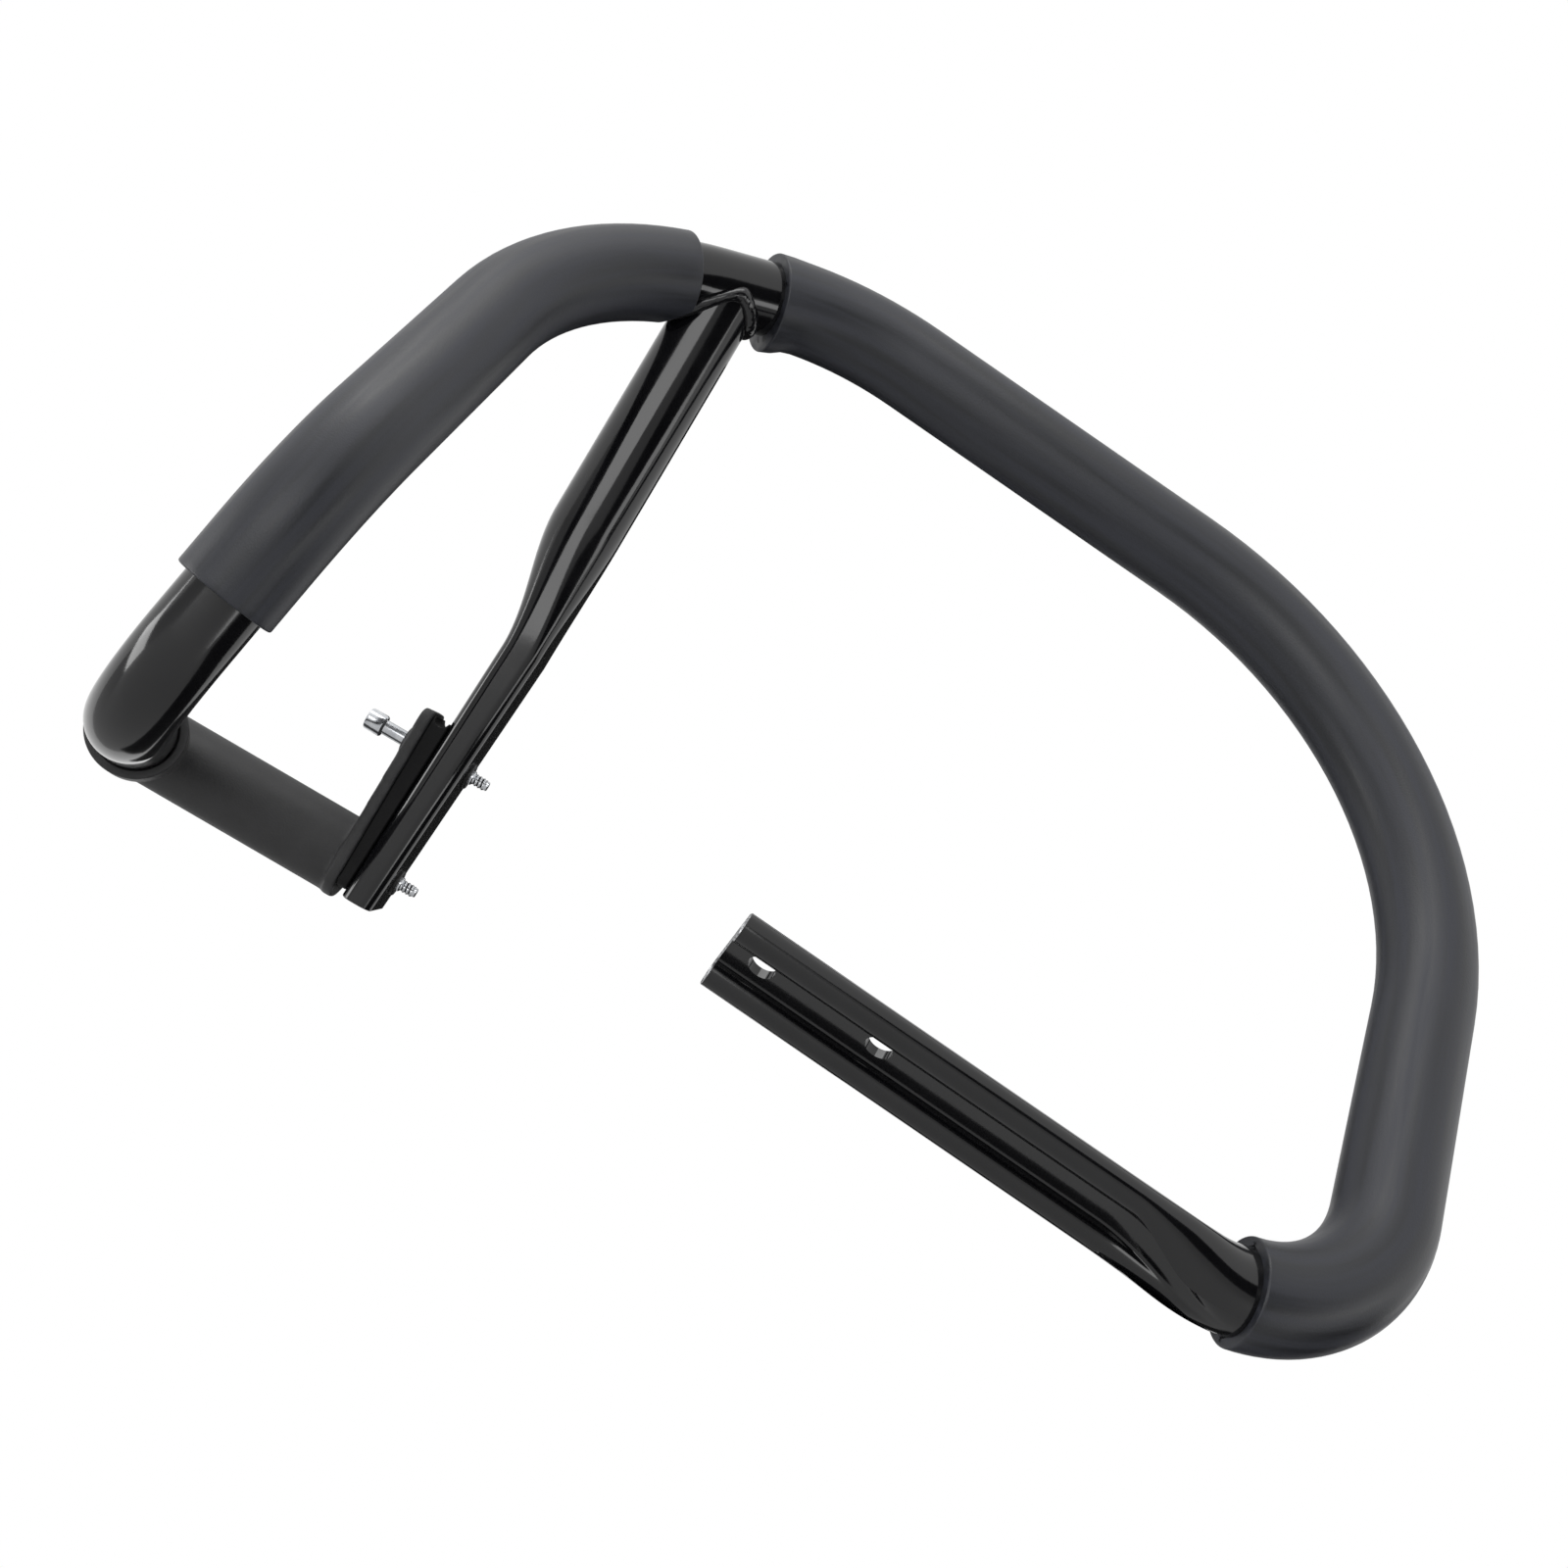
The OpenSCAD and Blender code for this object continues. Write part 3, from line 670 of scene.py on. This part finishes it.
# The tips show two or three wide ribs, so the thread is coarser than an M5 screw's 0.8 mm
PITCH = 1.3 * MM
THREAD = 0.42 * MM
THREAD_RINGS = 6
AROUND = 60
FASTENER_SHARP = 25
NUT_L = 7 * MM


def hexagon(grow=1):
    """Points on a hexagon, as many as on a circle round it."""
    return [Vector((cos(a), sin(a), 0)) * (grow * HEXAGON / cos((a % (pi / 3)) - pi / 6))
            for a in (2 * pi * k / AROUND for k in range(AROUND))]


def thread_ring(r, z):
    """Ring of a thread at height z: a crest climbs by one pitch round the screw."""
    return [p * (1 - THREAD / r * abs(2 * ((z / PITCH - k / AROUND) % 1) - 1))
            for k, p in enumerate(circle(r, AROUND))]


def screw(name, seat, z):
    """Screw across the brace at height z, whose head sits at seat."""
    end = flat_out(z) + COLLAR_T - seat
    rings = [(hexagon(), -HEAD_L + SOCKET_L), (hexagon(), -HEAD_L + EDGE), (hexagon(1.1), -HEAD_L)]
    for r, h in ((HEAD_R - 2 * EDGE, -HEAD_L), (HEAD_R - EDGE / 2, -HEAD_L + EDGE),
                 (HEAD_R, -HEAD_L + 0.7 * MM), (HEAD_R, -0.4 * MM), (HEAD_R - EDGE, 0),
                 (SCREW_R + EDGE, 0), (SCREW_R, EDGE), (SCREW_R, end + 0.7 * MM),
                 (SCREW_R - EDGE, end + MM)):
        rings.append((circle(r, AROUND), h))
    for k in range(round((TIP_L - 2 * MM) / PITCH * THREAD_RINGS)):
        climb = k * PITCH / THREAD_RINGS
        rings.append((thread_ring(TIP_R + EDGE / 2, climb), end + MM + climb))
    for r, h in ((TIP_R - EDGE, TIP_L - 0.9 * MM), (TIP_R - EDGE, TIP_L - 0.2 * MM),
                 (TIP_R - 0.5 * MM, TIP_L)):
        rings.append((circle(r, AROUND), end + h))
    bm = bmesh.new()
    skin(bm, [moved(across(seat + h, 0, z), ring) for ring, h in rings])
    return new_piece(name, bm, FASTENER_SHARP)


upper_screw = screw("upper_socket_screw", plate_out - BOSS_H - SHANK_FREE, high_z)
lower_screw = screw("lower_socket_screw", plate_out, low_z)


def nut(name, z):
    """Collar nut in the brace's far wall."""
    bm = bmesh.new()
    turned(bm, across(flat_out(z), 0, z), [
        (SCREW_R, -NUT_L), (NUT_R - 0.2 * MM, -NUT_L), (NUT_R, 0.2 * MM - NUT_L), (NUT_R, -0.15 * MM),
        (COLLAR_R - 0.1 * MM, -0.15 * MM), (COLLAR_R, 0.2 * MM), (COLLAR_R, 0.9 * MM),
        (COLLAR_R - 0.4 * MM, COLLAR_T), (SCREW_R + 0.3 * MM, COLLAR_T), (SCREW_R, MM)], hollow=True)
    return new_piece(name, bm, FASTENER_SHARP)


upper_nut = nut("upper_collar_nut", high_z)
lower_nut = nut("lower_collar_nut", low_z)

# Finishes


def colour(code):
    """An sRGB hex value as the linear colour that a socket takes."""
    parts = [int(code[i:i + 2], 16) / 255 for i in (1, 3, 5)]
    return [c / 12.92 if c <= 0.04045 else ((c + 0.055) / 1.055) ** 2.4 for c in parts] + [1]


def add(tree, kind, sockets=None, **settings):
    """Adds a node with its settings, and gives its sockets values or links them to other nodes'."""
    node = tree.nodes.new(kind)
    for name, value in settings.items():
        setattr(node, name, value)
    for name, value in (sockets or {}).items():
        if isinstance(value, bpy.types.NodeSocket):
            tree.links.new(value, node.inputs[name])
        else:
            node.inputs[name].default_value = value
    return node


def finish(name, tones, rough, patch, grain, height, shader):
    """A finish that drifts between two tones, and between two values of roughness.

    patch is the size of the drift, or the lengths along and across the tube of its streaks. grain
    is the size of the bumps, and height their height, in metres."""
    material = bpy.data.materials.new(name)
    material.use_nodes = True
    tree = material.node_tree
    tree.nodes.clear()
    spot = add(tree, "ShaderNodeTexCoord").outputs["Object"]
    if isinstance(patch, tuple):
        along, over = patch
        straight = add(tree, "ShaderNodeAttribute", attribute_name="straight").outputs["Vector"]
        drawn = add(tree, "ShaderNodeMapping",
                    {"Vector": straight, "Scale": (1 / over, 1 / over, 1 / along)})
        drift = add(tree, "ShaderNodeTexNoise", {"Vector": drawn.outputs["Vector"], "Scale": 1.0,
                                                 "Detail": 3.0, "Roughness": 0.55})
    else:
        drift = add(tree, "ShaderNodeTexNoise",
                    {"Vector": spot, "Scale": 1 / patch, "Detail": 4.0, "Roughness": 0.6})
    tint = add(tree, "ShaderNodeValToRGB", {"Fac": drift.outputs["Fac"]})
    for stop, at, tone in zip(tint.color_ramp.elements, (0.35, 0.65), tones):
        stop.position = at
        stop.color = colour(tone)
    gloss = add(tree, "ShaderNodeMapRange",
                {"Value": drift.outputs["Fac"], "From Min": 0.3, "From Max": 0.7,
                 "To Min": rough[0], "To Max": rough[1]})
    bumps = add(tree, "ShaderNodeTexNoise",
                {"Vector": spot, "Scale": 1 / grain, "Detail": 2.0, "Roughness": 0.5})
    bump = add(tree, "ShaderNodeBump",
               {"Height": bumps.outputs["Fac"], "Strength": 1.0, "Distance": height})
    surface = add(tree, "ShaderNodeBsdfPrincipled",
                  {"Base Color": tint.outputs["Color"], "Roughness": gloss.outputs["Result"],
                   "Normal": bump.outputs["Normal"], **shader})
    add(tree, "ShaderNodeOutputMaterial", {"Surface": surface.outputs["BSDF"]})
    return material


# The grains of rubber, nylon, plating, the bright cut end and blackened steel are finer than the
# render can show, so they are drawn at 0.4 to 0.6 mm. The other sizes are the real ones.

# Gloss black enamel baked on steel tube: deep black, crisp grey reflections, faint orange peel
enamel = finish("baked_gloss_enamel", ("#08080a", "#0d0d0f"), (0.08, 0.14),
                25 * MM, 3 * MM, 0.012 * MM, {"IOR": 1.55})
# The same enamel over weld metal: as glossy, with the weld's roughness showing through it
weld_enamel = finish("enamel_on_weld", ("#0c0c0e", "#131315"), (0.08, 0.16),
                     6 * MM, 1.2 * MM, 0.05 * MM, {"IOR": 1.55})
# Moulded rubber sleeve: bluish charcoal, with a soft bloom in streaks along it and a fine grain
rubber = finish("moulded_rubber", ("#14161b", "#262830"), (0.36, 0.56),
                (90 * MM, 5 * MM), 0.6 * MM, 0.04 * MM, {"IOR": 1.52})
# Bright metal on the sharp cut end: a painted highlight standing in for the glints along its rims,
# bright and scratched
cut_end_glint_metal = finish("cut_end_painted_glint", ("#6a6a6c", "#d0d1d3"), (0.3, 0.45),
                    1.5 * MM, 0.4 * MM, 0.02 * MM, {"Metallic": 1.0})
# Die casting under thin black paint: matt and slightly sandy
casting = finish("painted_die_casting", ("#1f1f20", "#29292a"), (0.5, 0.62),
                 12 * MM, 0.8 * MM, 0.06 * MM, {"IOR": 1.5})
# Moulded nylon spacer: dead black and matt
nylon = finish("moulded_nylon", ("#070708", "#0c0c0d"), (0.6, 0.75),
               10 * MM, 0.6 * MM, 0.03 * MM, {"IOR": 1.53, "Specular IOR Level": 0.2})
# Zinc plated steel screws: bright, slightly blue, almost smooth
zinc = finish("zinc_plated_steel", ("#bfc2c6", "#d6d8db"), (0.12, 0.2),
              3 * MM, 0.6 * MM, 0.002 * MM, {"Metallic": 1.0})
# Blackened steel nuts: dark, with a low oily sheen
blackened = finish("blackened_steel", ("#0e0e0f", "#161617"), (0.35, 0.45),
                   3 * MM, 0.6 * MM, 0.02 * MM, {"IOR": 1.5})

for piece, node, material, slot in (
        (bent_tube, "main_tube", enamel, "gloss_paint"),
        (brace, "brace_tube", enamel, "gloss_paint"),
        (weld, "weld_bead", weld_enamel, "weld_paint"),
        (side_sleeve, "side_grip", rubber, "grip_rubber"),
        (front_sleeve, "front_grip", rubber, "grip_rubber"),
        (bracket, "end_bracket", casting, "cast_paint"),
        (pad, "spacer", nylon, "spacer_plastic"),
        (upper_screw, "upper_screw", zinc, "zinc"),
        (lower_screw, "lower_screw", zinc, "zinc"),
        (upper_nut, "upper_nut", blackened, "nut_black"),
        (lower_nut, "lower_nut", blackened, "nut_black")):
    piece.data.materials.clear()
    piece.data.materials.append(material)
    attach(piece, "root")
    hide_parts(node)

# The cut end's faces get the bright metal, a painted highlight for the glints along its rims
bent_tube.data.materials.append(cut_end_glint_metal)
for index in cut_end:
    bent_tube.data.polygons[index].material_index = 1

# Floor, dark cards that only the reflections see, lamps, and the background

middle = Vector((-0.03, 0.05, 0.11))
CARD_AWAY = 0.35
eye_turn = eye.rotation_euler.to_matrix()


def staged(name, tone, place, width, height):
    """A plain sheet that is no part of the object."""
    bm = bmesh.new()
    bmesh.ops.create_grid(bm, x_segments=1, y_segments=1, size=0.5,
                          matrix=place @ Matrix.Diagonal((width, height, 1, 1)))
    sheet = new_piece(name, bm)
    paper = bpy.data.materials.new(name + "_paper")
    paper.use_nodes = True
    paper.node_tree.nodes.clear()
    matt = add(paper.node_tree, "ShaderNodeBsdfPrincipled",
               {"Base Color": colour(tone), "Roughness": 0.9})
    add(paper.node_tree, "ShaderNodeOutputMaterial", {"Surface": matt.outputs["BSDF"]})
    sheet.data.materials.append(paper)
    return sheet


def beside(right, up, back):
    """Place that faces the object's middle, at distances from it along the camera's own axes."""
    at = middle + eye_turn @ Vector((right, up, back))
    return Matrix.Translation(at) @ (at - middle).to_track_quat("Z", "Y").to_matrix().to_4x4()


staged("floor", "#f2f2f2", Matrix.Translation((0, 0, -0.6)), 8, 8)

# The last card stands where the brace's face towards the saw mirrors the camera's view
lit_face = in_brace @ Vector((flat_out(high_z), 0, high_z))
ray = (lit_face - eye.location).normalized()
mirrored = ray - 2 * ray.dot(brace_x) * brace_x
by_brace = (Matrix.Translation(lit_face + mirrored * CARD_AWAY)
            @ mirrored.to_track_quat("Z", "Y").to_matrix().to_4x4())
for name, place, width, height in (
        ("dark_card_behind_camera", beside(0.8, -1.0, 1.5), 4.6, 4),
        ("dark_card_below", beside(0.2, -1.4, 0), 4, 2.6),
        ("dark_card_by_brace", by_brace, 0.3, 0.5)):
    card = staged(name, "#050505", place, width, height)
    card.visible_camera = card.visible_diffuse = card.visible_shadow = False


def lamp(name, place, size, power):
    """A softbox with its width and height in metres and its power in watts."""
    light = bpy.data.objects.new(name, bpy.data.lights.new(name, "AREA"))
    light.data.shape = "RECTANGLE"
    light.data.size, light.data.size_y = size
    light.data.energy = power
    light.matrix_world = place
    bpy.context.scene.collection.objects.link(light)


lamp("front_softbox", beside(-0.15, 0.5, 1.2), (1.0, 0.4), 3.5)
lamp("left_softbox", beside(-1.2, 0.2, 0.45), (0.35, 1.3), 7)
lamp("overhead_softbox", beside(0.1, 1.3, 0.2), (1.3, 0.5), 6)
lamp("right_softbox", beside(1.1, -0.6, 0.6), (0.3, 1.0), 2.5)

world = bpy.data.worlds.new("studio")
bpy.context.scene.world = world
world.use_nodes = True
tree = world.node_tree
tree.nodes.clear()
path = add(tree, "ShaderNodeLightPath")
seen = add(tree, "ShaderNodeMath", {0: path.outputs["Is Camera Ray"],
                                    1: path.outputs["Is Transmission Ray"]}, operation="MAXIMUM")
shown = add(tree, "ShaderNodeMath", {0: seen.outputs[0], 1: path.outputs["Is Glossy Ray"]},
            operation="MAXIMUM")
soft = add(tree, "ShaderNodeBackground", {"Color": colour("#ffffff"), "Strength": 0.5})
white = add(tree, "ShaderNodeBackground", {"Color": colour("#ffffff"), "Strength": 1.0})
both = add(tree, "ShaderNodeMixShader", {0: shown.outputs[0], 1: soft.outputs[0], 2: white.outputs[0]})
add(tree, "ShaderNodeOutputWorld", {"Surface": both.outputs[0]})

bpy.context.scene.view_settings.view_transform = "Standard"
